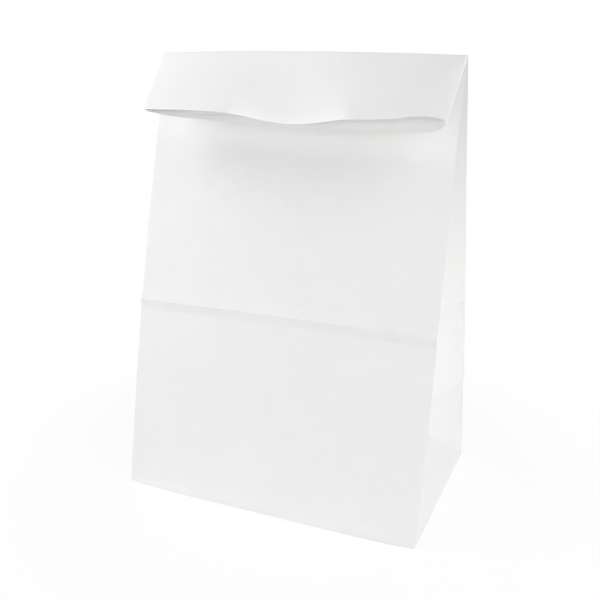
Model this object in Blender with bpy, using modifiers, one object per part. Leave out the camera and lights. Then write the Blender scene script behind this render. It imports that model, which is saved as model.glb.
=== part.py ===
"""Self-opening paper bag, standing on its block bottom with its top folded forward.

The bag is one folded sheet: a front and a back panel joined by two gussets that fold
inwards, closed below by a flat folded base and open at the mouth, which hangs in front
of the bag under the top fold. Metres, +Z up, front towards -Y, base centred on the origin.
"""
import math
from functools import lru_cache

import bmesh
import bpy
import numpy as np

# Flat sizes of the sheet
WIDTH = 0.220  # front and back panels, side to side
DEPTH = 0.140  # gussets, and so the base, front to back
LENGTH = 0.374  # base fold to mouth
PAPER = 0.00015  # one ply

# Top fold
FOLD_HEIGHT = 0.3078  # crest of the fold over the ground, at its two ends
FOLD_CROWN = 0.0016  # rise of the crest between its ends
FOLD_SETBACK = 0.0040  # crest behind the middle of the base
FOLD_SKEW = 0.0050  # the left end of the crest lies this much further back than the right
INNER_BEND = 0.0008  # bend radius of the innermost ply
PLY_PITCH = 0.00075  # from one ply of the folded stack to the next, and a crease's width

# Flap that hangs from the fold, angles from straight down
HANG = math.radians(40.6)  # inner ply where it hangs closest
HANG_LIFT = math.radians(5.0)  # what the hang gains at LIFT_REACH to either side of that
LIFT_REACH = 0.100
HANG_LOW_AT = 0.025  # place across the bag where the flap hangs closest
LEFT_LIFT = math.radians(1.5)  # what the hang gains besides at the flap's left corner
RIGHT_LIFT = math.radians(6.2)  # and at its right corner
CORNER_POWER = 8  # the higher, the nearer the corners that lift stays
MOUTH_GAPE = math.radians(7.8)  # outer ply over the inner one, at the widest of each side
GAPE_REACH = 0.050  # from the middle, where the plies touch, to the full gape
LEFT_TIP = 4  # how blunt the gape ends at the left corner of the mouth
RIGHT_TIP = 12  # and at the right one
RIGHT_CURL = math.radians(2.0)  # what the outer ply lifts besides, beside its right corner
CURL_AT = 0.021  # middle of that curl, from the corner
CURL_HALF = 0.030  # and half its width
LEFT_FAN = 1.0  # how far the left gusset's front half fans down from the outer ply
RIGHT_FAN = 0.0  # the right one stays against it
MOUTH_PULL = 0.0060  # how far the bent mouth draws each corner inwards
MOUTH_SHIFT = 0.0040  # and the whole mouth to the right

# Standing form of the panels, as distances out of the flat panel
LEFT_BOW = 0.0055  # front panel, at its left edge
RIGHT_DRAW = 0.0030  # front panel, inwards under the ridge at its right edge
SHOULDER = 0.0050  # front panel, outwards under the fold at its right edge
SHOULDER_POWER = 2.5  # the higher, the nearer the fold the shoulder sits
RIDGE = 0.0014  # pressed ridge across the front panel
RIDGE_HALF = 0.0040  # half the height of that ridge
BACK_BOW = 0.0024  # back panel, over its own crease and fading upwards
OVERHANG = 0.0026  # step outwards over that crease
OVERHANG_STEP = 0.0012  # height in which it steps out
PINCH = 0.0012  # both creases round the bag, out of a gusset half midway across it
PINCH_FADE = 0.012  # height over which a pinched crease fades into the gusset
GUSSET_SLACK = 0.0022  # what the bend of each gusset half takes off its straight width
STACK_FROM = 0.5  # share of the rise where the gussets begin to follow the panels' form
STACK_OVER = 0.4  # and the share over which they come to lie in one stack with them
BASE_FLARE = 0.0024  # pinched base fold, out of the panel
FLARE_HEIGHT = 0.0032
FLARE_POWER = 6  # the higher, the nearer the base's corners the flare runs

# Glued laps
SEAM_FROM_EDGE = 0.034  # edge of the long lap on the back panel, from the panel's left side
SEAM_LAP = 0.014
SEAM_EDGE = 0.0004  # width in which the surface steps over the lap's cut edge
BASE_LAP = 0.022  # where the two base flaps lie over each other
FLAP_INSET = 0.0008  # base flaps behind the base fold

# Divisions of the sheet
PANEL_CELLS = 16
GUSSET_CELLS = 7  # each gusset half, and the rows up to the half-depth crease
LOWER_ROWS = 4  # from the half-depth crease to the ridge
UPPER_ROWS = 8  # from the ridge to the fold
BEND_ROWS = 8
FLAP_ROWS = 6
SHARP_ANGLE = math.radians(35.0)  # faces that meet at more than this keep a sharp edge

BASE_LEVEL = 2 * PAPER  # underside of the innermost base ply
HALF_WIDTH = WIDTH / 2
HALF_DEPTH = DEPTH / 2


def smooth(value):
    """Ease from 0 to 1, flat outside that range."""
    t = min(max(value, 0.0), 1.0)
    return t * t * (3.0 - 2.0 * t)


def fold_centre(x):
    """Centre of the top fold's bend in the plane across the bag at x, as depth and height."""
    across = x / HALF_WIDTH
    outer_bend = INNER_BEND + 3 * PLY_PITCH
    depth = FOLD_SETBACK - across * FOLD_SKEW / 2
    height = FOLD_HEIGHT - outer_bend + FOLD_CROWN * (1.0 - across * across)
    return np.array([depth, height])


def front_bow(x, length):
    """How far the front panel stands out of its flat plane."""
    right = 0.5 + x / WIDTH
    ridge_share = length / DEPTH
    if ridge_share < 1.0:
        right_bow = -RIGHT_DRAW * math.sqrt(math.sin(math.pi * ridge_share))
    else:
        over = (length - DEPTH) / (rise_of(FRONT, x) - DEPTH)
        right_bow = SHOULDER * math.sin(math.pi * over ** SHOULDER_POWER)
    left_bow = LEFT_BOW * math.sin(math.pi * length / rise_of(FRONT, x))
    ridge = RIDGE * max(0.0, 1.0 - abs(length - DEPTH) / RIDGE_HALF)
    return left_bow + (right_bow - left_bow) * right + ridge


def back_bow(x, length):
    """How far the back panel stands out of its flat plane, with the long glued lap on it."""
    bow = BACK_BOW * smooth(length / HALF_DEPTH)
    step = OVERHANG * smooth((length - HALF_DEPTH) / OVERHANG_STEP)
    above = (length - HALF_DEPTH) / (rise_of(BACK, x) - HALF_DEPTH)
    return (bow + step) * (1.0 - smooth(above)) + lap_step(x)


def lap_step(x):
    """One ply's rise of the back panel over its long lap, fading away from the cut edge."""
    past_edge = SEAM_FROM_EDGE - HALF_WIDTH - x
    rise = min(max(past_edge / SEAM_EDGE + 0.5, 0.0), 1.0)
    return PAPER * rise * (1.0 - smooth(past_edge / SEAM_LAP))


def base_flare(x, length):
    """How far the pinched base fold stands out of a panel."""
    along = 1.0 - (x / HALF_WIDTH) ** FLARE_POWER
    return BASE_FLARE * along * max(0.0, 1.0 - length / FLARE_HEIGHT)


def front_hang(x):
    corner = (LEFT_LIFT if x < 0 else RIGHT_LIFT) * (x / HALF_WIDTH) ** CORNER_POWER
    return HANG + HANG_LIFT * ((x - HANG_LOW_AT) / LIFT_REACH) ** 2 + corner


def back_hang(x):
    tip = LEFT_TIP if x < 0 else RIGHT_TIP
    curl = RIGHT_CURL * smooth(1.0 - abs(x - HALF_WIDTH + CURL_AT) / CURL_HALF)
    gape = (MOUTH_GAPE + curl) * smooth(abs(x) / GAPE_REACH)
    return front_hang(x) + gape * (1.0 - min(abs(x) / HALF_WIDTH, 1.0) ** tip)


class Panel:
    """One of the two wide panels: its base line, its bend over the top fold and its form."""

    def __init__(self, outwards, bend, bow, hang):
        self.outwards = outwards
        self.bend = bend
        self.bow = bow
        self.hang = hang


FRONT = Panel(-1.0, INNER_BEND, front_bow, front_hang)
BACK = Panel(1.0, INNER_BEND + 3 * PLY_PITCH, back_bow, back_hang)


@lru_cache(maxsize=None)
def bend_start(panel, x):
    """Lean of a panel towards the back, and the point where it enters the top fold."""
    centre = fold_centre(x)
    foot = panel.outwards * HALF_DEPTH
    lean = math.atan2(centre[0] + panel.bend - foot, centre[1] - BASE_LEVEL)
    start = centre + panel.bend * np.array([math.cos(lean), -math.sin(lean)])
    return lean, start


@lru_cache(maxsize=None)
def rise_of(panel, x):
    """Length of a panel from the base fold to the top fold."""
    start = bend_start(panel, x)[1]
    return math.hypot(start[0] - panel.outwards * HALF_DEPTH, start[1] - BASE_LEVEL)


@lru_cache(maxsize=None)
def course(panel, x, stage, share):
    """Point of a panel at x, on one of its three stages: the rise, the bend and the flap."""
    lean, start = bend_start(panel, x)
    rise = rise_of(panel, x)
    if stage == "rise":
        length = share * rise
        foot = panel.outwards * HALF_DEPTH
        out = panel.bow(x, length) + base_flare(x, length)
        depth = foot + (start[0] - foot) * share + panel.outwards * out
        return np.array([x, depth, BASE_LEVEL + (start[1] - BASE_LEVEL) * share])
    lap = panel.outwards * lap_step(x) if panel is BACK else 0.0
    radius = panel.bend + lap
    last = math.pi - panel.hang(x)
    angle = last if stage == "flap" else -lean + (last + lean) * share
    point = fold_centre(x) + radius * np.array([math.cos(angle), math.sin(angle)])
    if stage == "bend":
        return np.array([x, point[0], point[1]])
    flap = LENGTH - rise - panel.bend * (last + lean)
    hang = panel.hang(x)
    point = point - share * flap * np.array([math.sin(hang), math.cos(hang)])
    drawn = x * (1.0 - share * MOUTH_PULL / HALF_WIDTH) + share * MOUTH_SHIFT
    return np.array([drawn, point[0], point[1]])


def between(x, stage, share, offset_of):
    """Point between the panels at x, at the offset from the front one that offset_of gives."""
    front = course(FRONT, x, stage, share)
    back = course(BACK, x, stage, share)
    gap = np.linalg.norm(back - front)
    return front + (back - front) * offset_of(gap) / gap


@lru_cache(maxsize=None)
def half_gap(stage, share):
    """Half the distance between the panels at their side edges."""
    front = course(FRONT, HALF_WIDTH, stage, share)
    back = course(BACK, HALF_WIDTH, stage, share)
    return np.linalg.norm(back - front) / 2


@lru_cache(maxsize=None)
def apex():
    """Height and inward reach of the point where a gusset's diagonal folds meet.

    It lies one gusset half away from the base fold and from both upright creases.
    """
    half = half_gap("rise", HALF_DEPTH / MEAN_RISE)
    edge_height = course(FRONT, HALF_WIDTH, "rise", HALF_DEPTH / MEAN_RISE)[2] - BASE_LEVEL
    height = (half ** 2 + edge_height ** 2) / (2 * edge_height)
    reach = math.sqrt((HALF_DEPTH - GUSSET_SLACK) ** 2 - height ** 2)
    return height, reach, edge_height - height


@lru_cache(maxsize=None)
def gusset_reach(stage, share):
    """How far the middle crease of a gusset lies inside the bag's side, and how far it sinks."""
    if stage != "rise":
        return HALF_DEPTH - GUSSET_SLACK, 0.0
    sink = apex()[2] * (1.0 - smooth((share * MEAN_RISE - HALF_DEPTH) / (MEAN_RISE - HALF_DEPTH)))
    straight = (HALF_DEPTH - GUSSET_SLACK) ** 2
    return math.sqrt(max(straight - half_gap(stage, share) ** 2 - sink ** 2, 0.0)), sink


def ply_offset(side, half, inward, stage, gap):
    """Offset of a gusset's ply from the front panel, where the panels are the gap apart."""
    if half > 0 and stage == "flap":
        return gap - PLY_PITCH
    edge = PLY_PITCH if half < 0 else gap - PLY_PITCH
    if stage == "flap":
        fan = LEFT_FAN if side < 0 else RIGHT_FAN
        return gap - 2 * PLY_PITCH - fan * (1.0 - inward) * (gap - 3 * PLY_PITCH)
    middle = (gap + half * PLY_PITCH) / 2
    return edge + (middle - edge) * inward


def pinch(side, inward, length):
    """How far a gusset half stands out sideways beside the two creases round the bag."""
    near = min(abs(length - HALF_DEPTH), abs(length - DEPTH))
    out = PINCH * max(0.0, 1.0 - near / PINCH_FADE) * math.sin(math.pi * inward)
    return np.array([side * out, 0.0, 0.0])


def gusset_point(side, half, inward, stage, share):
    """Point of a gusset: side -1 or 1, half -1 front or 1 back, inward 0 to 1 to its middle."""
    length = share * MEAN_RISE
    if stage == "rise" and length < HALF_DEPTH:
        return lower_gusset_point(side, half, inward, length)
    reach, sink = gusset_reach(stage, share)

    def layered(at):
        point = between(side * (HALF_WIDTH - reach * at), stage, share,
                        lambda gap: ply_offset(side, half, at, stage, gap))
        return point - np.array([0.0, 0.0, sink * at])

    if stage != "rise":
        return layered(inward)
    straight = layered(0.0) + (layered(1.0) - layered(0.0)) * inward
    bent = straight + (layered(inward) - straight) * smooth((share - STACK_FROM) / STACK_OVER)
    return bent + pinch(side, inward, length)


def lower_gusset_point(side, half, inward, length):
    """Point of the three flat facets that a gusset folds into under the half-depth crease."""
    share = length / MEAN_RISE
    top = HALF_DEPTH / MEAN_RISE

    def edge(at):
        return between(side * HALF_WIDTH, "rise", at,
                       lambda gap: PLY_PITCH if half < 0 else gap - PLY_PITCH)

    height, reach, _ = apex()
    middle = half * PLY_PITCH / 2
    peak_depth = between(side * (HALF_WIDTH - reach), "rise", top, lambda gap: gap / 2)[1]
    peak = np.array([side * (HALF_WIDTH - reach), peak_depth + middle, BASE_LEVEL + height])
    foot = np.array([side * HALF_WIDTH, middle, BASE_LEVEL])
    if length > inward * HALF_DEPTH:
        return edge(share) + (peak - edge(top)) * inward + pinch(side, inward, length)
    return edge(0.0) + (foot - edge(0.0)) * inward + (peak - foot) * length / HALF_DEPTH


MEAN_RISE = (rise_of(FRONT, HALF_WIDTH) + rise_of(BACK, HALF_WIDTH)) / 2


def gusset_steps():
    """Places across a gusset half, which are also the lengths of the rows beside its diagonal."""
    regular = np.linspace(0.0, HALF_DEPTH, GUSSET_CELLS + 1)
    return [0.0, FLARE_HEIGHT] + list(regular[1:])


def sheet_rows():
    """Every row round the sheet, base to mouth, as its stage and its share of that stage."""
    lengths = gusset_steps() + [HALF_DEPTH + OVERHANG_STEP]
    lengths += list(np.linspace(HALF_DEPTH + PINCH_FADE, DEPTH - PINCH_FADE, LOWER_ROWS))
    lengths += [DEPTH - RIDGE_HALF, DEPTH, DEPTH + RIDGE_HALF]
    lengths += list(np.linspace(DEPTH + PINCH_FADE, MEAN_RISE, UPPER_ROWS))
    rows = [("rise", length / MEAN_RISE) for length in sorted(lengths)]
    rows += [("bend", step / BEND_ROWS) for step in range(1, BEND_ROWS + 1)]
    rows += [("flap", step / FLAP_ROWS) for step in range(1, FLAP_ROWS + 1)]
    return rows


def panel_places(panel):
    """Places across a panel, left to right."""
    places = set(np.linspace(-HALF_WIDTH, HALF_WIDTH, PANEL_CELLS + 1))
    if panel is BACK:
        edge = SEAM_FROM_EDGE - HALF_WIDTH
        places |= {edge + SEAM_EDGE / 2, edge - SEAM_EDGE / 2, edge - SEAM_LAP}
    return sorted(places)


def sheet_columns():
    """Every column round the sheet, as a function from a row to its point.

    They run across the front, round the right gusset, back along the back panel and round
    the left gusset. With each comes the direction of the diagonal fold beside it.
    """
    steps = [step / HALF_DEPTH for step in gusset_steps()]

    def panel_column(panel, x):
        return lambda stage, share: course(panel, x, stage, share)

    def gusset_column(side, half, inward):
        return lambda stage, share: gusset_point(side, half, inward, stage, share)

    columns = [(panel_column(FRONT, x), 0) for x in panel_places(FRONT)]
    columns += [(gusset_column(1, -1, step), 1) for step in steps]
    columns += [(gusset_column(1, 1, step), -1) for step in reversed(steps)]
    columns += [(panel_column(BACK, x), 0) for x in reversed(panel_places(BACK))]
    columns += [(gusset_column(-1, 1, step), 1) for step in steps]
    columns += [(gusset_column(-1, -1, step), -1) for step in reversed(steps)]
    return columns


def add_sheet(mesh_data):
    """The whole outer surface of the bag as one open sheet, its base closed."""
    rows = sheet_rows()
    columns = sheet_columns()
    sheet = bmesh.new()
    points = [[sheet.verts.new(place(*row)) for row in rows] for place, _ in columns]
    for number, (_, diagonal) in enumerate(columns):
        here = points[number]
        there = points[(number + 1) % len(columns)]
        for row in range(len(rows) - 1):
            low, high = row, row + 1
            corners = [here[low], there[low], there[high], here[high]]
            length = rows[high][1] * MEAN_RISE
            if diagonal == 0 or rows[high][0] != "rise" or length > HALF_DEPTH * 1.001:
                sheet.faces.new(corners)
                continue
            turn = 0 if diagonal > 0 else 1
            split = corners[turn:] + corners[:turn]
            sheet.faces.new((split[0], split[1], split[2]))
            sheet.faces.new((split[2], split[3], split[0]))
    sheet.faces.new([column[0] for column in reversed(points)])
    sheet.to_mesh(mesh_data)
    sheet.free()


def add_base_flap(name, collection, underside, front):
    """One of the two glued base flaps: a plate whose ends are mitred along the diagonals."""
    near = HALF_DEPTH - FLAP_INSET
    reach = near + BASE_LAP / 2
    top = BASE_LEVEL + PAPER / 2
    flap = bmesh.new()
    bmesh.ops.create_cube(flap, size=1.0)
    for vertex in flap.verts:
        free_edge = vertex.co.y > 0
        across = HALF_WIDTH - FLAP_INSET - (reach if free_edge else 0.0)
        vertex.co.x = math.copysign(across, vertex.co.x)
        vertex.co.y = BASE_LAP / 2 if free_edge else -near
        vertex.co.z = top if vertex.co.z > 0 else underside
        if not front:
            vertex.co.x, vertex.co.y = -vertex.co.x, -vertex.co.y
    mesh_data = bpy.data.meshes.new(name)
    flap.to_mesh(mesh_data)
    flap.free()
    plate = bpy.data.objects.new(name, mesh_data)
    collection.objects.link(plate)
    plate.hide_render = True
    plate.display_type = "WIRE"
    return plate


def white_paper():
    material = bpy.data.materials.new("white_kraft_paper")
    material.use_nodes = True
    shader = material.node_tree.nodes["Principled BSDF"]
    shader.inputs["Base Color"].default_value = (0.89, 0.89, 0.88, 1.0)
    shader.inputs["Roughness"].default_value = 0.72
    shader.inputs["Metallic"].default_value = 0.0
    material.diffuse_color = (0.89, 0.89, 0.88, 1.0)
    return material


def new_collection(name):
    collection = bpy.data.collections.new(name)
    bpy.context.scene.collection.children.link(collection)
    return collection


def build_bag():
    for item in list(bpy.data.objects):
        bpy.data.objects.remove(item)
    parts = new_collection("self_opening_paper_bag")
    tools = new_collection("base_flap_tools")

    mesh_data = bpy.data.meshes.new("paper_bag")
    add_sheet(mesh_data)
    mesh_data.shade_smooth()
    mesh_data.set_sharp_from_angle(angle=SHARP_ANGLE)
    bag = bpy.data.objects.new("paper_bag", mesh_data)
    bag.data.materials.append(white_paper())
    parts.objects.link(bag)

    ply = bag.modifiers.new("ply", "SOLIDIFY")
    ply.thickness = PAPER
    ply.offset = -1.0
    ply.use_even_offset = True

    outer_flap = add_base_flap("outer_base_flap", tools, 0.0, True)
    inner_flap = add_base_flap("inner_base_flap", tools, PAPER, False)
    for flap in (inner_flap, outer_flap):
        glue = bag.modifiers.new("glued_" + flap.name, "BOOLEAN")
        glue.operation = "UNION"
        glue.solver = "EXACT"
        glue.object = flap


build_bag()
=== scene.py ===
"""Self-opening paper bag, dressed: the folded sheet with its creases, wrinkles and paper.

The sheet is laid out flat in columns round the bag and rows up it, and a Geometry Nodes tree
folds it by the same rule as the solid model. Metres, +Z up, front towards -Y.
"""
import math
from functools import cached_property
from types import SimpleNamespace

import bmesh
import bpy
import numpy as np
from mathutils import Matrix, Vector


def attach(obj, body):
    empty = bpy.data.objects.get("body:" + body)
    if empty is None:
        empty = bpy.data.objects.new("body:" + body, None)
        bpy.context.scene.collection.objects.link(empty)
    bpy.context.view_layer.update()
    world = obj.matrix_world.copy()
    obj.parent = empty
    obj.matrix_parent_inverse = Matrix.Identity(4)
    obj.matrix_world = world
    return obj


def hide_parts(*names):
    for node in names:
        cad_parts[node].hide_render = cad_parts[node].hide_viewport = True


bl_info = {
    "name": "Self-opening paper bag",
    "version": (1, 0, 0),
    "blender": (4, 5, 0),
    "location": "View3D > Sidebar > Paper bag",
    "description": "A white block-bottom paper bag with its top folded forward",
    "category": "Add Mesh",
}

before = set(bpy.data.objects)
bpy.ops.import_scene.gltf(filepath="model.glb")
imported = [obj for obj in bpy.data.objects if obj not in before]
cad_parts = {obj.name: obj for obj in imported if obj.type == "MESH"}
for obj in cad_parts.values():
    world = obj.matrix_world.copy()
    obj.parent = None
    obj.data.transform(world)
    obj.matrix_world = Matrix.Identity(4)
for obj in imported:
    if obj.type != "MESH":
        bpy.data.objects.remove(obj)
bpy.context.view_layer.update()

FRONT, BACK = -1.0, 1.0

# Top fold
FOLD_CROWN = 0.0016  # rise of the crest between its ends
FOLD_SETBACK = 0.0040  # crest behind the middle of the base
FOLD_SKEW = 0.0050  # the left end of the crest lies this much further back than the right
INNER_BEND = 0.0008  # bend radius of the innermost ply
PLY_PITCH = 0.00050  # from one ply of the folded stack to the next

# Flap that hangs from the fold
HANG_LIFT = math.radians(5.0)  # what the hang gains at LIFT_REACH to either side of its closest
LIFT_REACH = 0.100
HANG_LOW_AT = 0.025  # place across the bag where the flap hangs closest
LEFT_LIFT = math.radians(2.5)  # what the hang gains besides at the flap's left corner
RIGHT_LIFT = math.radians(18.5)  # and at its right corner
INNER_POWER = 13.0  # the higher, the nearer the corners the inner ply keeps that lift
OUTER_POWER = 6.0  # and the outer ply
ROLL = 0.0100  # how far the flap's right corner rolls back, as a cone from the top fold
ROLL_WIDE = 0.030  # width over which it rolls at the mouth
ROLL_POWER = 2.5  # the higher, the nearer the side edge the flap bends
FLAP_TRIM = 0.0020  # what the turned corners of the flap lose against its middle
FLAP_LONG = 0.0018  # and what the middle gains
GAPE_REACH = 0.050  # from the middle, where the plies touch, to the full gape
LEFT_TIP = 4.0  # how blunt the gape ends at the left corner of the mouth
RIGHT_TIP = 9.0  # and at the right one
LEFT_FAN = 1.0  # how far the left gusset's front half fans down from the outer ply
MOUTH_PULL = 0.0052  # how far the bent mouth draws each corner inwards
MOUTH_SHIFT = 0.0053  # and the whole mouth to the right

# Standing form of the panels, as distances out of the flat panel
LEFT_BOW = 0.0055  # front panel, at its left edge
RIGHT_DRAW = 0.0030  # front panel, inwards under the ridge at its right edge
SHOULDER = 0.0050  # front panel, outwards under the fold at its right edge
SHOULDER_POWER = 2.5  # the higher, the nearer the fold the shoulder sits
RIDGE = 0.0024  # pressed ridge across the front panel
RIDGE_HALF = 0.0060  # half the height of that ridge
BACK_BOW = 0.0024  # back panel, over its own crease and fading upwards
OVERHANG = 0.0026  # step outwards over that crease
OVERHANG_STEP = 0.0012  # height in which it steps out at the panel
OVERHANG_EASE = 0.0150  # what that height gains inside a gusset
PINCH = 0.0042  # half-depth crease, out of a gusset half midway across it
PINCH_FADE = 0.016  # height over which it fades into the gusset above
PINCH_HIGH = 0.0020  # crease at the base's depth, likewise
HIGH_FADE = 0.006
GUSSET_SLACK = 0.0022  # what the bend of each gusset half takes off its straight width
STACK_FROM = 0.5  # share of the rise where the gussets begin to follow the panels' form
STACK_OVER = 0.4  # and the share over which they come to lie in one stack with them
BASE_FLARE = 0.0024  # pinched base fold, out of the panel
FLARE_HEIGHT = 0.0032
FLARE_POWER = 6.0  # the higher, the nearer the base's corners the flare runs

# Glued laps
SEAM_FROM_EDGE = 0.034  # edge of the long lap on the back panel, from the panel's left side
SEAM_LAP = 0.014
SEAM_EDGE = 0.0004  # width in which the surface steps over the lap's cut edge
BASE_LAP = 0.022  # where the two base flaps lie over each other
FLAP_INSET = 0.0008  # base flaps behind the base fold

# Divisions of the flat sheet
CREASE_HALF = 0.0006  # the rows and columns beside a crease
PANEL_CELLS = 72
GUSSET_CELLS = 34  # each gusset half, and the rows up to the half-depth crease
LOWER_ROWS = 24  # from the half-depth crease to the ridge
UPPER_ROWS = 50  # from the ridge to the fold
BEND_ROWS = 12
FLAP_ROWS = 24
STEP_ROWS = 0.0030  # the even rows above the half-depth crease start this far over it
SHARP_ANGLE = math.radians(40.0)

# Tolerances that decide on which side of a crease a row or column lies
JUST_UNDER = 0.9999
JUST_OVER = 1.0001
SAME_PLACE = 1e-6
LEAST_HUNG = 0.02  # keeps the roll's width above 0 where the flap begins
EASE_RATE = 6.0  # inverse share of a gusset half over which OVERHANG_EASE sets in

# Unevenness of the sheet: noise scales, and the height over which it sets in
WARP_SCALE = 14.0
COCKLE_SCALE = 75.0
EVEN_UP_TO = 0.030

# Paper: noise scales, and how far the painted shade along the folds goes
CLOUD_SCALE = 60.0
FIBRE_SCALE = 1500.0
MOTTLE_SCALE = 260.0
# share of the painted shade, a darker colour laid along the folds
PAINTED_SHADE_SHARE = 0.3
RELIEF_DEPTH = 0.00025

# Floor: share of its glow near the bag, how far that reaches, and the fade to full glow
GLOW_NEAR = 0.90
GLOW_FROM = 0.14
GLOW_FADE = 0.16

# Camera, solved from the straight edges of the bag
CAMERA_PLACE = (0.2189, -0.5128, 0.3175)
CAMERA_TURN = (math.radians(72.0), 0.0, math.radians(23.25))
CAMERA_SENSOR = 36.0
CAMERA_LENS = CAMERA_SENSOR * 804.6 / 600.0
LAMP_TARGET = (0.0, 0.0, 0.14)


# Arithmetic on numbers and on node sockets alike

class Wire:
    """One output of a node, which takes part in Python arithmetic by adding nodes."""

    def __init__(self, tree, socket):
        self.tree = tree
        self.socket = socket

    @classmethod
    def add(cls, tree, kind, settings=None, inputs=None, output=0):
        """Add a node, set it up, feed its sockets with values or wires, and give an output."""
        node = tree.nodes.new(kind)
        for name, value in (settings or {}).items():
            setattr(node, name, value)
        for key, value in (inputs or {}).items():
            if isinstance(value, Wire):
                tree.links.new(value.socket, node.inputs[key])
            else:
                node.inputs[key].default_value = value
        return cls(tree, node.outputs[output])

    def __add__(self, other):
        return reckon("ADD", None, self, other)

    def __radd__(self, other):
        return reckon("ADD", None, other, self)

    def __sub__(self, other):
        return reckon("SUBTRACT", None, self, other)

    def __rsub__(self, other):
        return reckon("SUBTRACT", None, other, self)

    def __mul__(self, other):
        return reckon("MULTIPLY", None, self, other)

    def __rmul__(self, other):
        return reckon("MULTIPLY", None, other, self)

    def __truediv__(self, other):
        return reckon("DIVIDE", None, self, other)

    def __rtruediv__(self, other):
        return reckon("DIVIDE", None, other, self)

    def __pow__(self, other):
        return reckon("POWER", None, self, other)

    def __neg__(self):
        return reckon("MULTIPLY", None, self, -1.0)

    def __abs__(self):
        return reckon("ABSOLUTE", None, self)


def reckon(operation, plain, *values):
    """One step of arithmetic: a Math node if any value is a wire, else the plain function."""
    wires = [value for value in values if isinstance(value, Wire)]
    if not wires:
        return plain(*values)
    settings = {"operation": operation}
    return Wire.add(wires[0].tree, "ShaderNodeMath", settings, dict(enumerate(values)))


def sine(value):
    return reckon("SINE", math.sin, value)


def cosine(value):
    return reckon("COSINE", math.cos, value)


def arc_tangent(up, along):
    return reckon("ARCTAN2", math.atan2, up, along)


def root(value):
    return reckon("SQRT", lambda v: math.sqrt(max(v, 0.0)), highest(value, 0.0))


def highest(value, other):
    return reckon("MAXIMUM", max, value, other)


def lowest(value, other):
    return reckon("MINIMUM", min, value, other)


def above(value, limit):
    """1 where the value is over the limit, else 0."""
    return reckon("GREATER_THAN", lambda v, other: float(v > other), value, limit)


def within(value, low, high):
    return lowest(highest(value, low), high)


def smooth(value):
    """Ease from 0 to 1, flat outside that range."""
    t = within(value, 0.0, 1.0)
    return t * t * (3.0 - 2.0 * t)


def blend(first, second, share):
    return first * (1.0 - share) + second * share


def blend_points(first, second, share):
    return tuple(blend(a, b, share) for a, b in zip(first, second))


def distance(first, second):
    squares = [(b - a) * (b - a) for a, b in zip(first, second)]
    return root(squares[0] + squares[1] + squares[2])


# The folding rule

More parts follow.
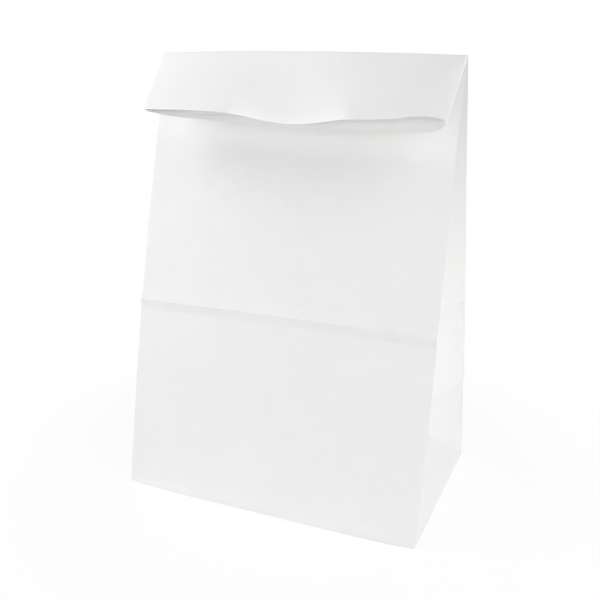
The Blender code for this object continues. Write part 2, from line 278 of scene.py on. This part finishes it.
class FoldRule:
    """Where the points of the flat sheet lie once the bag is folded.

    Its sizes may be numbers or wires, and so may the points that it gives. A stage runs from
    0 at the base fold over 1 at the top fold and 2 at the end of the bend to 3 at the mouth.
    """

    def __init__(self, sizes, panels=None):
        self.sizes = sizes
        self.pair = panels or self.work_out_pair
        self.half_width = sizes.width / 2
        self.half_depth = sizes.depth / 2
        self.level = sizes.paper * 2
        self.outer_bend = INNER_BEND + 3 * PLY_PITCH

    @cached_property
    def mean_rise(self):
        """Length of a panel's side edge from the base fold to the top fold."""
        return self.pair(self.half_width, 0.0).rise

    @cached_property
    def top(self):
        """Share of the rise at the crease at half the base's depth."""
        return self.half_depth / self.mean_rise

    def entry(self, outwards, x):
        """Where a panel enters the top fold, in the plane across the bag at x."""
        across = x / self.half_width
        bend = INNER_BEND if outwards < 0 else self.outer_bend
        centre_y = FOLD_SETBACK - across * (FOLD_SKEW / 2)
        centre_z = self.sizes.fold_height - self.outer_bend + FOLD_CROWN * (1.0 - across * across)
        foot = self.half_depth * outwards
        lean = arc_tangent(centre_y + bend - foot, centre_z - self.level)
        start_y = centre_y + bend * cosine(lean)
        start_z = centre_z - bend * sine(lean)
        run_y = start_y - foot
        run_z = start_z - self.level
        return SimpleNamespace(
            outwards=outwards, x=x, across=across, bend=bend, centre_y=centre_y,
            centre_z=centre_z, foot=foot, lean=lean, run_y=run_y, run_z=run_z,
            rise=root(run_y * run_y + run_z * run_z), hang=self.hang(outwards, x, across))

    def hang(self, outwards, x, across):
        """Angle of a ply of the flap from straight down."""
        on_right = above(x, 0.0)
        power = INNER_POWER if outwards < 0 else OUTER_POWER
        corner = blend(LEFT_LIFT, RIGHT_LIFT, on_right) * abs(across) ** power
        spread = (x - HANG_LOW_AT) / LIFT_REACH
        hang = self.sizes.hang + HANG_LIFT * spread * spread + corner
        if outwards < 0:
            return hang
        tip = blend(LEFT_TIP, RIGHT_TIP, on_right)
        gape = self.sizes.gape * smooth(abs(x) / GAPE_REACH)
        return hang + gape * (1.0 - lowest(abs(across), 1.0) ** tip)

    def front_bow(self, at, length):
        depth = self.sizes.depth
        under = -RIGHT_DRAW * root(sine(math.pi * within(length / depth, 0.0, 1.0)))
        over = within((length - depth) / (at.rise - depth), 0.0, 1.0)
        shoulder = SHOULDER * sine(math.pi * over ** SHOULDER_POWER)
        left = LEFT_BOW * sine(math.pi * length / at.rise)
        near = highest(1.0 - abs(length - depth) / RIDGE_HALF, 0.0)
        ridge = RIDGE * near * near
        return blend(left, under + shoulder, at.across * 0.5 + 0.5) + ridge

    def back_bow(self, at, length, ease):
        bow = BACK_BOW * smooth(length / self.half_depth)
        step = OVERHANG * smooth((length - self.half_depth) / (OVERHANG_STEP + ease))
        over = (length - self.half_depth) / (at.rise - self.half_depth)
        return (bow + step) * (1.0 - smooth(over)) + self.lap_step(at.x)

    def lap_step(self, x):
        """One ply's rise over the back panel's long lap, fading away from its cut edge."""
        past_edge = SEAM_FROM_EDGE - self.half_width - x
        rise = within(past_edge / SEAM_EDGE + 0.5, 0.0, 1.0)
        return self.sizes.paper * rise * (1.0 - smooth(past_edge / SEAM_LAP))

    def course(self, at, stage, ease=0.0):
        """Point of a panel in the plane of an entry, at a stage."""
        share = within(stage, 0.0, 1.0)
        length = share * at.rise
        bow = self.front_bow(at, length) if at.outwards < 0 else self.back_bow(at, length, ease)
        flare = (1.0 - abs(at.across) ** FLARE_POWER) * highest(1.0 - length / FLARE_HEIGHT, 0.0)
        out = (bow + BASE_FLARE * flare) * at.outwards
        risen_y = at.foot + at.run_y * share + out
        risen_z = self.level + at.run_z * share
        turned = within(stage - 1.0, 0.0, 1.0)
        hung = within(stage - 2.0, 0.0, 1.0)
        last = math.pi - at.hang
        angle = (last + at.lean) * turned - at.lean
        radius = at.bend
        if at.outwards > 0:
            radius = radius + self.lap_step(at.x) * (1.0 - turned)
        cut = FLAP_LONG - FLAP_TRIM * at.across * at.across
        flap = (self.sizes.length - at.rise - at.bend * (last + at.lean) + cut) * hung
        wide = ROLL_WIDE * highest(hung, LEAST_HUNG)
        rolled = highest(1.0 - (self.half_width - at.x) / wide, 0.0)
        radius = radius - ROLL * hung * rolled ** ROLL_POWER
        over_y = at.centre_y + radius * cosine(angle) - flap * sine(at.hang)
        over_z = at.centre_z + radius * sine(angle) - flap * cosine(at.hang)
        drawn = at.x * (1.0 - hung * MOUTH_PULL / self.half_width) + hung * MOUTH_SHIFT
        past = above(stage, 1.0)
        return drawn, blend(risen_y, over_y, past), blend(risen_z, over_z, past)

    def work_out_pair(self, x, stage, ease=0.0):
        """Points of both panels at x and a stage, their distance, and their mean rise."""
        front, back = self.entry(FRONT, x), self.entry(BACK, x)
        ahead, behind = self.course(front, stage), self.course(back, stage, ease)
        return SimpleNamespace(front=ahead, back=behind, gap=distance(ahead, behind),
                               rise=(front.rise + back.rise) / 2)

    @cached_property
    def apex(self):
        """Where a gusset's diagonal folds meet: one gusset half from the base fold and edges."""
        edges = self.pair(self.half_width, self.top)
        half, edge_height = edges.gap / 2, edges.front[2] - self.level
        straight = self.half_depth - GUSSET_SLACK
        height = (half * half + edge_height * edge_height) / (2 * edge_height)
        reach = root(straight * straight - height * height)
        return SimpleNamespace(height=height, reach=reach, sink=edge_height - height)

    def gusset_reach(self, share, stage):
        """How far a gusset's middle crease lies inside the bag's side, and how far it sinks."""
        half = self.pair(self.half_width, stage).gap / 2
        past = share * self.mean_rise - self.half_depth
        sink = self.apex.sink * (1.0 - smooth(past / (self.mean_rise - self.half_depth)))
        straight = self.half_depth - GUSSET_SLACK
        return root(straight * straight - half * half - sink * sink), sink

    def ply_offset(self, side, half, inward, stage, gap):
        """Offset of a gusset's ply from the front panel, where the panels are the gap apart."""
        behind = above(half, 0.0)
        edge = blend(PLY_PITCH, gap - PLY_PITCH, behind)
        middle = (gap + half * PLY_PITCH) / 2
        standing = blend(edge, middle, inward)
        fan = LEFT_FAN * (1.0 - above(side, 0.0))
        fanned = gap - 2 * PLY_PITCH - fan * (1.0 - inward) * (gap - 3 * PLY_PITCH)
        hanging = blend(fanned, gap - PLY_PITCH, behind)
        return blend(standing, hanging, above(stage, 2.0))

    def pinch(self, side, inward, length):
        """How far a gusset half stands out sideways beside the two creases round the bag."""
        out = 0.0
        for crease, height, fade in ((self.half_depth, PINCH, PINCH_FADE),
                                     (self.sizes.depth, PINCH_HIGH, HIGH_FADE)):
            past = length - crease * JUST_UNDER
            out = out + height * highest(1.0 - past / fade, 0.0) * above(past, 0.0)
        return side * out * root(sine(math.pi * inward))

    def gusset(self, side, half, inward, stage):
        """Point of a gusset: side -1 or 1, half -1 front or 1 back, inward 0 to 1."""
        share = within(stage, 0.0, 1.0)
        length = share * self.mean_rise
        reach, sink = self.gusset_reach(share, stage)
        ease = OVERHANG_EASE * smooth(inward * EASE_RATE)

        def layered(at):
            panels = self.pair(side * (self.half_width - reach * at), stage, ease)
            offset = self.ply_offset(side, half, at, stage, panels.gap)
            point = blend_points(panels.front, panels.back, offset / panels.gap)
            return point[0], point[1], point[2] - sink * at

        outer, inner = layered(0.0), layered(1.0)
        straight = blend_points(outer, inner, inward)
        bent = blend_points(straight, layered(inward), smooth((share - STACK_FROM) / STACK_OVER))
        pinched = self.pinch(side, inward, length)
        upper = (bent[0] + pinched, bent[1], bent[2])
        lower = self.lower_gusset(side, half, inward, length, share, pinched)
        return blend_points(upper, lower, above(self.half_depth * JUST_UNDER, length))

    def lower_gusset(self, side, half, inward, length, share, pinched):
        """Point of the flat facets that a gusset folds into under the half-depth crease."""
        def edge(at):
            panels = self.pair(side * self.half_width, at)
            offset = blend(PLY_PITCH, panels.gap - PLY_PITCH, above(half, 0.0))
            return blend_points(panels.front, panels.back, offset / panels.gap)

        peak_x = side * (self.half_width - self.apex.reach)
        panels = self.pair(peak_x, self.top)
        middle = half * (PLY_PITCH / 2)
        peak_y = blend(panels.front[1], panels.back[1], 0.5) + middle
        peak = (peak_x, peak_y, self.level + self.apex.height)
        foot = (side * self.half_width, middle, self.level)
        low, high, here = edge(0.0), edge(self.top), edge(share)
        beside = tuple(h + (p - t) * inward for h, p, t in zip(here, peak, high))
        beside = (beside[0] + pinched, beside[1], beside[2])
        up = length / self.half_depth
        under = tuple(e + (f - e) * inward + (p - f) * up for e, f, p in zip(low, foot, peak))
        return blend_points(under, beside, above(length, inward * self.half_depth * JUST_OVER))


# Settings that a user would change

def distance_setting(name, description, default):
    return bpy.props.FloatProperty(
        name=name, description=description, default=default, min=0.0, precision=5,
        subtype="DISTANCE", unit="LENGTH")


def angle_setting(name, description, degrees):
    return bpy.props.FloatProperty(
        name=name, description=description, default=math.radians(degrees), subtype="ANGLE")


def share_setting(name, description, default):
    return bpy.props.FloatProperty(
        name=name, description=description, default=default, min=0.0, subtype="FACTOR")


def colour_setting(name, description, default):
    return bpy.props.FloatVectorProperty(
        name=name, description=description, default=default, size=3, min=0.0, max=1.0,
        subtype="COLOR")


class BagSizes(bpy.types.PropertyGroup):
    """Sizes of the sheet and of its folds."""
    width: distance_setting("Width", "Front and back panels, side to side", 0.220)
    depth: distance_setting("Depth", "Gussets, and so the base, front to back", 0.140)
    length: distance_setting("Length", "Base fold to mouth, along the sheet", 0.374)
    paper: distance_setting("Paper", "Thickness of one ply", 0.00015)
    fold_height: distance_setting("Fold height", "Crest of the top fold at its ends", 0.3078)
    hang: angle_setting("Flap hang", "Flap's inner ply where it hangs closest", 40.6)
    gape: angle_setting("Mouth gape", "Outer ply over the inner one at the mouth", 7.8)
    warp: distance_setting("Warp", "Slow unevenness of the standing sheet", 0.0010)
    cockle: distance_setting("Cockle", "Small wrinkles of the handled sheet", 0.00022)


class PaperFinish(bpy.types.PropertyGroup):
    """Look of the paper."""
    colour: colour_setting("Colour", "Bleached kraft paper", (0.885, 0.887, 0.880))
    shade: colour_setting("Shade", "Paper where its fibres lie thicker", (0.868, 0.870, 0.862))
    # painted shade: a darker colour laid along the folds, where the shading falls
    painted_shade: colour_setting("Painted_fold_shade", "Paper along a pressed fold", (0.850, 0.851, 0.842))
    roughness: share_setting("Roughness", "Middle of the sheet's roughness", 0.62)
    fibre: share_setting("Fibre", "Strength of the fibre relief", 0.18)


class StudioLook(bpy.types.PropertyGroup):
    """Light and ground around the bag."""
    floor: colour_setting("Floor", "Pale floor", (0.93, 0.93, 0.93))
    sky: share_setting("Sky", "Strength of the light from all round", 0.12)
    lamps: bpy.props.FloatProperty(
        name="Lamps", description="Power of all lamps against their plain level", default=1.0,
        min=0.0, subtype="FACTOR")


# The flat sheet

def crease_places(length, cells):
    """Even places from 0 to the length, with one more beside each end."""
    places = list(np.linspace(0.0, length, cells + 1))
    return sorted(places + [CREASE_HALF, length - CREASE_HALF])


def sheet_stages(rule):
    """Every row up the sheet, from the base fold to the mouth, as its stage."""
    half, depth, rise = rule.half_depth, rule.sizes.depth, rule.mean_rise
    lengths = crease_places(half, GUSSET_CELLS)
    lengths += [half + CREASE_HALF, half + OVERHANG_STEP]
    lengths += list(np.linspace(half + STEP_ROWS, depth - RIDGE_HALF, LOWER_ROWS))
    lengths += [depth - CREASE_HALF, depth, depth + CREASE_HALF]
    lengths += list(np.linspace(depth + RIDGE_HALF, rise - CREASE_HALF, UPPER_ROWS))
    stages = [length / rise for length in sorted(lengths)]
    stages += [1.0 + step / BEND_ROWS for step in range(BEND_ROWS + 1)]
    stages += [2.0 + step / FLAP_ROWS for step in range(1, FLAP_ROWS + 1)]
    return stages


def sheet_columns(rule):
    """Every column round the sheet: side, half, place, and the diagonal fold's direction.

    Side is 0 on a panel. Half is -1 at the front and 1 at the back. The place is x on a
    panel and runs from 0 at the edge to 1 at the middle crease on a gusset half.
    """
    across = [x - rule.half_width for x in crease_places(rule.sizes.width, PANEL_CELLS)]
    edge = SEAM_FROM_EDGE - rule.half_width
    seam = [edge + SEAM_EDGE / 2, edge - SEAM_EDGE / 2]
    steps = [place / rule.half_depth for place in crease_places(rule.half_depth, GUSSET_CELLS)]
    columns = [(0.0, FRONT, x, 0) for x in across]
    columns += [(1.0, FRONT, step, 1) for step in steps]
    columns += [(1.0, BACK, step, -1) for step in reversed(steps)]
    columns += [(0.0, BACK, x, 0) for x in reversed(sorted(across + seam))]
    columns += [(-1.0, BACK, step, 1) for step in steps]
    columns += [(-1.0, FRONT, step, -1) for step in reversed(steps)]
    return columns


def crease_amount(rule, column, stage):
    """1 on a fold of the sheet, 0 elsewhere; it marks where the paper takes painted shade."""
    side, half, place, _ = column
    on_edge = abs(abs(place) - rule.half_width) < SAME_PLACE if side == 0 else place in (0.0, 1.0)
    length = stage * rule.mean_rise
    marks = [0.0, rule.sizes.depth, rule.mean_rise]
    if side != 0 or half == BACK:
        marks.append(rule.half_depth)
    return float(on_edge or (stage <= 1.0 and min(abs(length - m) for m in marks) < SAME_PLACE))


def flat_sheet(rule):
    """The sheet before it is folded, with each point's place in the fold as attributes."""
    stages = sheet_stages(rule)
    columns = sheet_columns(rule)
    rows = len(stages)
    girth = 2 * (rule.sizes.width + rule.sizes.depth)
    points, faces = [], []
    for number, _ in enumerate(columns):
        points += [(girth * number / len(columns), stage * rule.mean_rise, 0.0) for stage in stages]
    for number, (_, _, _, diagonal) in enumerate(columns):
        here, there = number * rows, (number + 1) % len(columns) * rows
        for row in range(rows - 1):
            corners = [here + row, there + row, there + row + 1, here + row + 1]
            if diagonal == 0 or stages[row + 1] > rule.top * JUST_OVER:
                faces.append(corners)
                continue
            turn = 0 if diagonal > 0 else 1
            split = corners[turn:] + corners[:turn]
            faces += [(split[0], split[1], split[2]), (split[2], split[3], split[0])]
    faces.append([number * rows for number in reversed(range(len(columns)))])
    mesh = bpy.data.meshes.new("flat_sheet")
    mesh.from_pydata(points, [], faces)
    spread = {
        "side": [column[0] for column in columns for _ in stages],
        "half": [column[1] for column in columns for _ in stages],
        "place": [column[2] for column in columns for _ in stages],
        "stage": [stage for _ in columns for stage in stages],
        # the crease attribute also marks where the paper takes painted shade
        "crease": [crease_amount(rule, column, stage) for column in columns for stage in stages],
    }
    for name, values in spread.items():
        mesh.attributes.new(name, "FLOAT", "POINT").data.foreach_set("value", values)
    return mesh


# The trees that fold it

SIZE_INPUTS = {
    "width": "Width", "depth": "Depth", "length": "Length", "paper": "Paper",
    "fold_height": "Fold height", "hang": "Flap hang", "gape": "Mouth gape"}


def new_group(name, inputs, outputs):
    """A node group with sockets of those names and kinds, its inputs as wires, and its end."""
    tree = bpy.data.node_groups.new(name, "GeometryNodeTree")
    for sockets, in_out in ((inputs, "INPUT"), (outputs, "OUTPUT")):
        for label, kind in sockets.items():
            tree.interface.new_socket(label, in_out=in_out, socket_type="NodeSocket" + kind)
    source = tree.nodes.new("NodeGroupInput")
    given = {label: Wire(tree, source.outputs[label]) for label in inputs}
    return tree, given, tree.nodes.new("NodeGroupOutput")


def wired_sizes(given):
    return SimpleNamespace(**{name: given[label] for name, label in SIZE_INPUTS.items()})


def panels_tree():
    """The rule's two wide panels as a group of their own, at one x and one stage."""
    inputs = dict.fromkeys([*SIZE_INPUTS.values(), "X", "Stage", "Ease"], "Float")
    outputs = {"Front": "Vector", "Back": "Vector", "Gap": "Float", "Rise": "Float"}
    tree, given, end = new_group("Panels of the bag", inputs, outputs)
    panels = FoldRule(wired_sizes(given)).work_out_pair(
        given["X"], given["Stage"], given["Ease"])
    for label, point in (("Front", panels.front), ("Back", panels.back)):
        where = Wire.add(tree, "ShaderNodeCombineXYZ", {}, dict(enumerate(point)))
        tree.links.new(where.socket, end.inputs[label])
    tree.links.new(panels.gap.socket, end.inputs["Gap"])
    tree.links.new(panels.rise.socket, end.inputs["Rise"])
    return tree


def fold_tree(paper):
    """The whole fold: every point of the flat sheet to its place, then wrinkles and paper."""
    inputs = {"Flat sheet": "Geometry"}
    inputs.update(dict.fromkeys([*SIZE_INPUTS.values(), "Warp", "Cockle"], "Float"))
    tree, given, end = new_group("Fold a paper bag", inputs, {"Folded bag": "Geometry"})
    group = panels_tree()

    def panels(x, stage, ease=0.0):
        sockets = {label: given[label] for label in SIZE_INPUTS.values()}
        sockets.update({"X": x, "Stage": stage, "Ease": ease})
        gap = Wire.add(tree, "GeometryNodeGroup", {"node_tree": group}, sockets, "Gap")
        outputs = gap.socket.node.outputs

        def split(label):
            parts = Wire.add(tree, "ShaderNodeSeparateXYZ", {}, {0: Wire(tree, outputs[label])})
            return tuple(Wire(tree, part) for part in parts.socket.node.outputs)

        return SimpleNamespace(front=split("Front"), back=split("Back"), gap=gap,
                               rise=Wire(tree, outputs["Rise"]))

    def noted(name):
        settings = {"data_type": "FLOAT"}
        return Wire.add(tree, "GeometryNodeInputNamedAttribute", settings, {"Name": name})

    def moved(sheet, **inputs_by_name):
        return Wire.add(tree, "GeometryNodeSetPosition", {}, {"Geometry": sheet, **inputs_by_name})

    rule = FoldRule(wired_sizes(given), panels)
    side, half, place, stage = noted("side"), noted("half"), noted("place"), noted("stage")
    flat_panels = panels(place, stage)
    panel = blend_points(flat_panels.front, flat_panels.back, above(half, 0.0))
    folded_in = rule.gusset(side, half, place, stage)
    point = blend_points(panel, folded_in, abs(side))
    where = Wire.add(tree, "ShaderNodeCombineXYZ", {}, dict(enumerate(point)))
    folded = moved(given["Flat sheet"], Position=where)

    position = Wire.add(tree, "GeometryNodeInputPosition")
    height = Wire.add(tree, "ShaderNodeSeparateXYZ", {}, {0: position}, output=2)
    lifted = smooth(height / EVEN_UP_TO)

    def unevenness(scale, detail, amount):
        noise = Wire.add(tree, "ShaderNodeTexNoise", {"noise_dimensions": "3D"},
                         {"Vector": position, "Scale": scale, "Detail": detail}, output=1)
        centred = Wire.add(tree, "ShaderNodeVectorMath", {"operation": "SUBTRACT"},
                           {0: noise, 1: (0.5, 0.5, 0.5)})
        return Wire.add(tree, "ShaderNodeVectorMath", {"operation": "SCALE"},
                        {0: centred, "Scale": amount * lifted})

    warped = moved(folded, Offset=unevenness(WARP_SCALE, 1.0, given["Warp"]))
    cockled = moved(warped, Offset=unevenness(COCKLE_SCALE, 2.0, given["Cockle"]))
    whole = Wire.add(tree, "GeometryNodeRealizeInstances", {}, {0: cockled})
    covered = Wire.add(tree, "GeometryNodeSetMaterial", {}, {"Geometry": whole, "Material": paper})
    tree.links.new(covered.socket, end.inputs["Folded bag"])
    return tree


# The paper

def paper_material(finish):
    material = bpy.data.materials.new("white_kraft_paper")
    material.use_nodes = True
    tree = material.node_tree
    shader = tree.nodes["Principled BSDF"]
    place = Wire.add(tree, "ShaderNodeTexCoord", output="Object")

    def grain(scale, detail, roughness=0.5):
        return Wire.add(tree, "ShaderNodeTexNoise", {"noise_dimensions": "3D"},
                        {"Vector": place, "Scale": scale, "Detail": detail,
                         "Roughness": roughness})

    def mix(first, second, share):
        return Wire.add(tree, "ShaderNodeMix", {"data_type": "RGBA"},
                        {"Factor": share, 6: first, 7: second}, output=2)

    def rgba(colour):
        return (*colour, 1.0)

    cloud = grain(CLOUD_SCALE, 3.0, 0.6)
    fibre = grain(FIBRE_SCALE, 4.0, 0.7)
    crease = Wire.add(tree, "ShaderNodeAttribute", {"attribute_name": "crease"}, output="Fac")
    thick = smooth((cloud - 0.35) * 2.6) * 0.6 + smooth((fibre - 0.3) * 2.4) * 0.4
    sheet = mix(rgba(finish.colour), rgba(finish.shade), thick)
    # painted shade: the folds take a darker colour in place of their shading
    colour = mix(sheet, rgba(finish.painted_shade), smooth(crease) * PAINTED_SHADE_SHARE)
    tree.links.new(colour.socket, shader.inputs["Base Color"])
    roughness = finish.roughness + (cloud - 0.5) * 0.16 + (fibre - 0.5) * 0.10
    tree.links.new(roughness.socket, shader.inputs["Roughness"])
    relief = Wire.add(tree, "ShaderNodeBump", {},
                      {"Strength": finish.fibre, "Distance": RELIEF_DEPTH,
                       "Height": fibre * 0.4 + cloud * 2.0 + grain(MOTTLE_SCALE, 2.0) * 0.9})
    tree.links.new(relief.socket, shader.inputs["Normal"])
    shader.inputs["Metallic"].default_value = 0.0
    shader.inputs["Specular IOR Level"].default_value = 0.35
    shader.inputs["Sheen Weight"].default_value = 0.05
    shader.inputs["Subsurface Weight"].default_value = 0.40
    shader.inputs["Subsurface Radius"].default_value = (1.0, 1.0, 1.0)
    shader.inputs["Subsurface Scale"].default_value = 0.0008
    return material


# Base flaps

def add_base_flap(work, rule, underside, front):
    """One of the two glued base flaps: a plate whose ends are mitred along the diagonals."""
    near = rule.half_depth - FLAP_INSET
    reach = near + BASE_LAP / 2
    top = rule.level + rule.sizes.paper / 2
    plate = bmesh.ops.create_cube(work, size=1.0)["verts"]
    for vertex in plate:
        free_edge = vertex.co.y > 0
        across = rule.half_width - FLAP_INSET - (reach if free_edge else 0.0)
        vertex.co.x = math.copysign(across, vertex.co.x)
        vertex.co.y = BASE_LAP / 2 if free_edge else -near
        vertex.co.z = top if vertex.co.z > 0 else underside
        if not front:
            vertex.co.x, vertex.co.y = -vertex.co.x, -vertex.co.y


class BAG_OT_folded_bag(bpy.types.Operator):
    """Fold the flat sheet into the bag and give it its paper"""
    bl_idname = "paper_bag.folded_bag"
    bl_label = "Folded bag"

    def execute(self, context):
        sizes = context.scene.bag_sizes
        rule = FoldRule(SimpleNamespace(**{name: getattr(sizes, name) for name in SIZE_INPUTS}))
        paper = paper_material(context.scene.bag_finish)
        flat = bpy.data.objects.new("flat_sheet", flat_sheet(rule))
        context.scene.collection.objects.link(flat)
        tree = fold_tree(paper)
        fold = flat.modifiers.new("fold", "NODES")
        fold.node_group = tree
        given = {label: getattr(sizes, name) for name, label in SIZE_INPUTS.items()}
        given.update({"Warp": sizes.warp, "Cockle": sizes.cockle})
        for item in tree.interface.items_tree:
            if item.in_out == "INPUT" and item.name in given:
                fold[item.identifier] = given[item.name]
        ply = flat.modifiers.new("ply", "SOLIDIFY")
        ply.thickness = sizes.paper
        ply.offset = -1.0

        graph = context.evaluated_depsgraph_get()
        mesh = bpy.data.meshes.new_from_object(
            flat.evaluated_get(graph), preserve_all_data_layers=True, depsgraph=graph)
        flat.modifiers.clear()
        bpy.data.objects.remove(flat)
        work = bmesh.new()
        work.from_mesh(mesh)
        add_base_flap(work, rule, 0.0, True)
        add_base_flap(work, rule, sizes.paper, False)
        work.to_mesh(mesh)
        work.free()
        mesh.name = "folded_bag"
        mesh.shade_smooth()
        mesh.set_sharp_from_angle(angle=SHARP_ANGLE)
        bag = bpy.data.objects.new("folded_bag", mesh)
        context.scene.collection.objects.link(bag)
        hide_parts("paper_bag")
        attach(bag, "root")
        return {"FINISHED"}


def floor_material(colour):
    """A pale floor that shows as white, and keeps the shadow that falls on it."""
    material = bpy.data.materials.new("pale_floor")
    material.use_nodes = True
    tree = material.node_tree
    ground = tree.nodes["Principled BSDF"]
    ground.inputs["Base Color"].default_value = (*colour, 1.0)
    ground.inputs["Roughness"].default_value = 0.9
    ground.inputs["Specular IOR Level"].default_value = 0.0
    glow = Wire.add(tree, "ShaderNodeEmission", {}, {"Color": (1, 1, 1, 1), "Strength": 1.0})
    seen = Wire.add(tree, "ShaderNodeLightPath", output="Is Camera Ray")
    place = Wire.add(tree, "ShaderNodeTexCoord", output="Object")
    away = Wire.add(tree, "ShaderNodeVectorMath", {"operation": "LENGTH"}, {0: place}, "Value")
    shown = Wire.add(tree, "ShaderNodeMixShader", {},
                     {0: seen * blend(GLOW_NEAR, 1.0, smooth((away - GLOW_FROM) / GLOW_FADE)),
                      1: Wire(tree, ground.outputs[0]), 2: glow})
    output = tree.nodes["Material Output"]
    tree.links.new(shown.socket, output.inputs["Surface"])
    return material


# Soft lamps: name, place, diameter and power in watts
LAMPS = (
    ("left_front", (-0.90, -0.80, 0.25), 0.8, 6.8),
    ("left_top", (-0.38, -0.12, 0.58), 0.3, 1.1),
    ("overhead", (0.00, -0.10, 1.30), 0.9, 1.0),
    ("right_side", (0.85, 0.10, 0.35), 0.5, 2.0),
    ("right_front", (0.75, -1.10, 0.25), 0.8, 7.2),
    ("right_top", (0.70, -0.25, 0.85), 0.5, 2.9),
    ("behind", (0.20, 1.10, 0.35), 0.8, 4.0),
)


class BAG_OT_studio(bpy.types.Operator):
    """Set up the floor, the light and the camera"""
    bl_idname = "paper_bag.studio"
    bl_label = "Studio"

    def execute(self, context):
        look = context.scene.bag_studio
        scene = context.scene
        bpy.ops.mesh.primitive_plane_add(size=12.0)
        floor = context.object
        floor.name = "floor"
        floor.data.materials.append(floor_material(look.floor))

        world = bpy.data.worlds.new("soft_room")
        world.use_nodes = True
        tree = world.node_tree
        light = tree.nodes["Background"]
        light.inputs["Color"].default_value = (1.0, 1.0, 1.0, 1.0)
        light.inputs["Strength"].default_value = look.sky
        white = Wire.add(tree, "ShaderNodeBackground", {}, {"Color": (1, 1, 1, 1), "Strength": 1.0})
        path = tree.nodes.new("ShaderNodeLightPath")
        seen = highest(Wire(tree, path.outputs["Is Camera Ray"]),
                       highest(Wire(tree, path.outputs["Is Glossy Ray"]),
                               Wire(tree, path.outputs["Is Transmission Ray"])))
        shown = Wire.add(tree, "ShaderNodeMixShader", {},
                         {0: seen, 1: Wire(tree, light.outputs[0]), 2: white})
        tree.links.new(shown.socket, tree.nodes["World Output"].inputs["Surface"])
        scene.world = world

        for name, place, size, power in LAMPS:
            self.add_lamp(scene, name, place, size, power * look.lamps)

        lens = bpy.data.cameras.new("camera")
        lens.sensor_width = CAMERA_SENSOR
        lens.lens = CAMERA_LENS
        camera = bpy.data.objects.new("camera", lens)
        camera.location = CAMERA_PLACE
        camera.rotation_euler = CAMERA_TURN
        scene.collection.objects.link(camera)
        scene.camera = camera
        scene.view_settings.view_transform = "Standard"
        return {"FINISHED"}

    @staticmethod
    def add_lamp(scene, name, place, size, power):
        data = bpy.data.lights.new(name, "AREA")
        data.shape = "DISK"
        data.size = size
        data.energy = power
        lamp = bpy.data.objects.new(name, data)
        lamp.location = place
        aim = Vector(LAMP_TARGET) - Vector(place)
        lamp.rotation_euler = aim.to_track_quat("-Z", "Y").to_euler()
        scene.collection.objects.link(lamp)


class BAG_PT_panel(bpy.types.Panel):
    """Lists the settings, with buttons that fold the bag and set up the studio"""
    bl_idname = "BAG_PT_panel"
    bl_label = "Self-opening paper bag"
    bl_space_type = "VIEW_3D"
    bl_region_type = "UI"
    bl_category = "Paper bag"

    def draw(self, context):
        for name in ("bag_sizes", "bag_finish", "bag_studio"):
            settings = getattr(context.scene, name)
            box = self.layout.box()
            for setting in settings.bl_rna.properties.keys():
                if setting not in ("rna_type", "name"):
                    box.prop(settings, setting)
        self.layout.operator("paper_bag.folded_bag")
        self.layout.operator("paper_bag.studio")


CLASSES = (BagSizes, PaperFinish, StudioLook, BAG_OT_folded_bag, BAG_OT_studio, BAG_PT_panel)


def register():
    for item in CLASSES:
        bpy.utils.register_class(item)
    bpy.types.Scene.bag_sizes = bpy.props.PointerProperty(type=BagSizes)
    bpy.types.Scene.bag_finish = bpy.props.PointerProperty(type=PaperFinish)
    bpy.types.Scene.bag_studio = bpy.props.PointerProperty(type=StudioLook)


def unregister():
    del bpy.types.Scene.bag_studio
    del bpy.types.Scene.bag_finish
    del bpy.types.Scene.bag_sizes
    for item in reversed(CLASSES):
        bpy.utils.unregister_class(item)


def main():
    register()
    bpy.ops.paper_bag.folded_bag()
    bpy.ops.paper_bag.studio()


if __name__ == "__main__":
    main()
